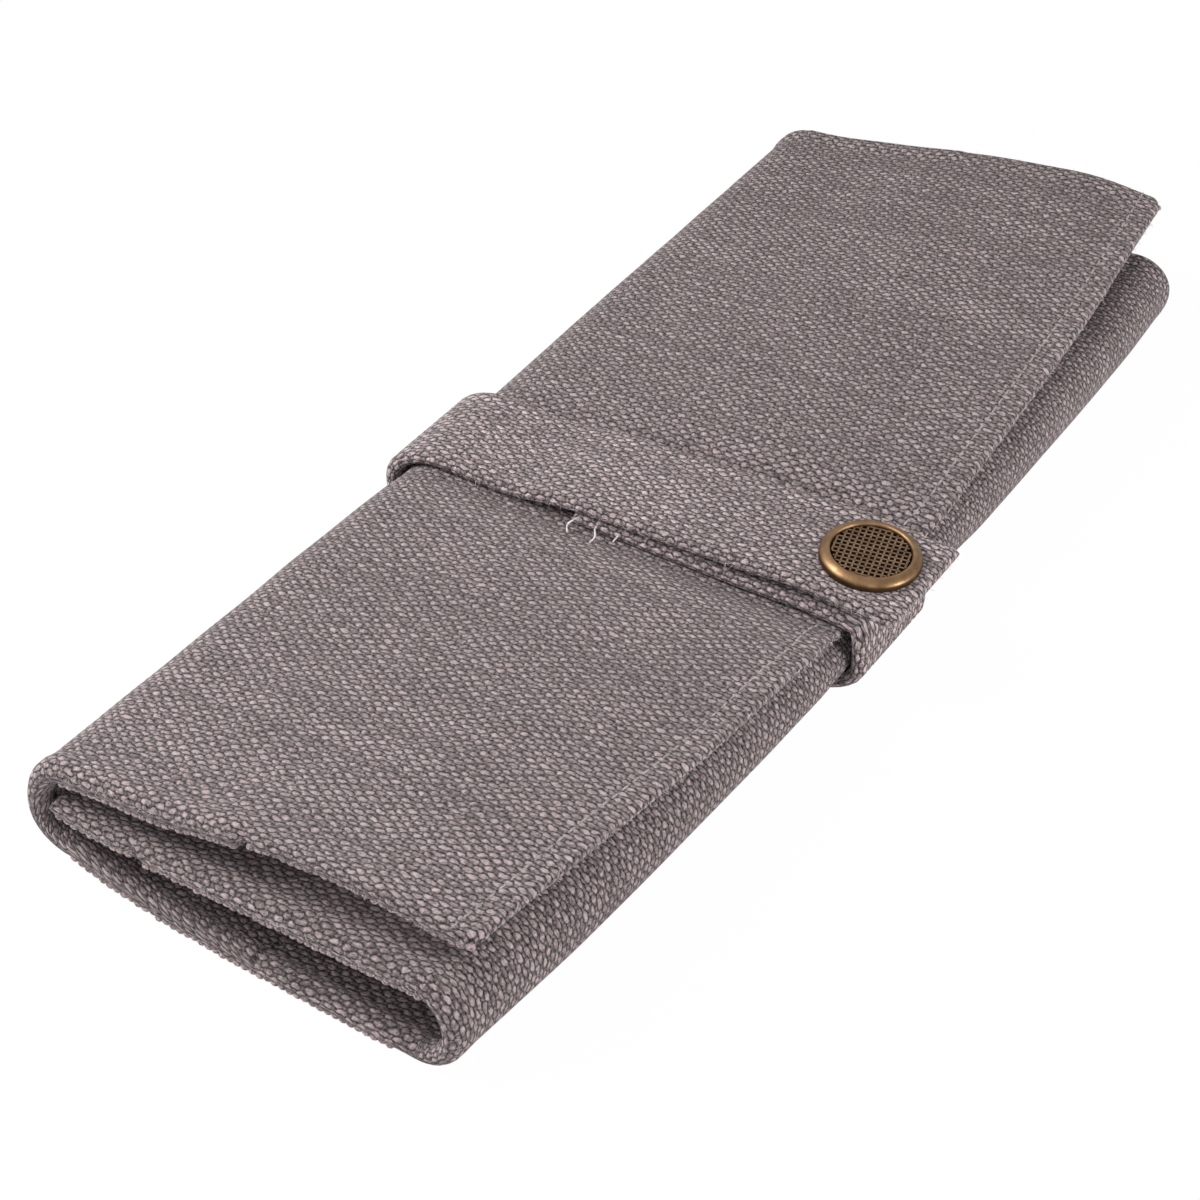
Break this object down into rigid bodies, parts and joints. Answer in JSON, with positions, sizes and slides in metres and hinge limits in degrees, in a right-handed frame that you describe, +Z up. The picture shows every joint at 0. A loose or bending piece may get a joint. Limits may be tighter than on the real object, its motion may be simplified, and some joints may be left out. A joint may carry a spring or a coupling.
{
  "type": "watch strap roll",
  "caption": "Canvas watch strap roll, folded in three like a letter, with strap sleeves inside and a canvas belt that closes round it with a brass snap.",
  "frame": {"origin": "middle of the roll's box, on the surface that it lies on", "axes": "+Y along the roll, +X towards the flap's free edge, +Z up out of the flap"},
  "size_m": [0.0996, 0.236, 0.0278],
  "materials": {
    "canvas": "heavy plain-weave taupe canvas",
    "lining": "plain-weave taupe canvas",
    "thread": "grey sewing thread",
    "antique_brass": "antique brass, rubbed bright on the rim",
    "dark_brass": "blackened brass with a raised waffle grid",
    "spring_steel": "bright spring wire"
  },
  "bodies": {
    "base": {"base_canvas": "canvas", "base_pocket": "lining", "divider_seam_1": "thread", "divider_seam_2": "thread", "divider_seam_3": "thread", "divider_seam_4": "thread", "strap_base": "canvas"},
    "flap": {"flap_canvas": "canvas", "flap_pocket": "lining", "strap_wrap": "canvas"},
    "inner_panel": {"inner_canvas": "canvas", "inner_pocket": "lining", "inner_edge": "canvas"},
    "strap_upper": {"strap_snap_end": "canvas", "snap_cap": "antique_brass", "snap_cap_insert": "dark_brass", "snap_socket": "antique_brass", "snap_spring": "spring_steel"},
    "strap_lower": {"strap_stud_end": "canvas", "snap_stud": "antique_brass", "snap_eyelet": "antique_brass"}
  },
  "joints": [
    {"name": "flap_fold", "type": "hinge", "parent": "base", "child": "flap", "pos_m": [-0.0498, 0, 0.0116], "axis": [0, -1, 0], "range_deg": [0, 168]},
    {"name": "strap_lift", "type": "hinge", "parent": "flap", "child": "strap_upper", "pos_m": [-0.036, 0, 0.0198], "axis": [0, -1, 0], "range_deg": [0, 150]},
    {"name": "inner_fold", "type": "hinge", "parent": "base", "child": "inner_panel", "pos_m": [0.0416, 0, 0.0085], "axis": [0, 1, 0], "range_deg": [0, 81], "deforming": ["inner_edge"]},
    {"name": "strap_lower_fold", "type": "hinge", "parent": "base", "child": "strap_lower", "pos_m": [0.0442, 0, 0.0085], "axis": [0, 1, 0], "range_deg": [0, 157], "deforming": ["strap_stud_end"]}
  ],
  "couplings": [
    {"joint": "inner_fold", "follows": "flap_fold", "ratio": 0.48},
    {"joint": "strap_lower_fold", "follows": "flap_fold", "ratio": 0.93}
  ]
}
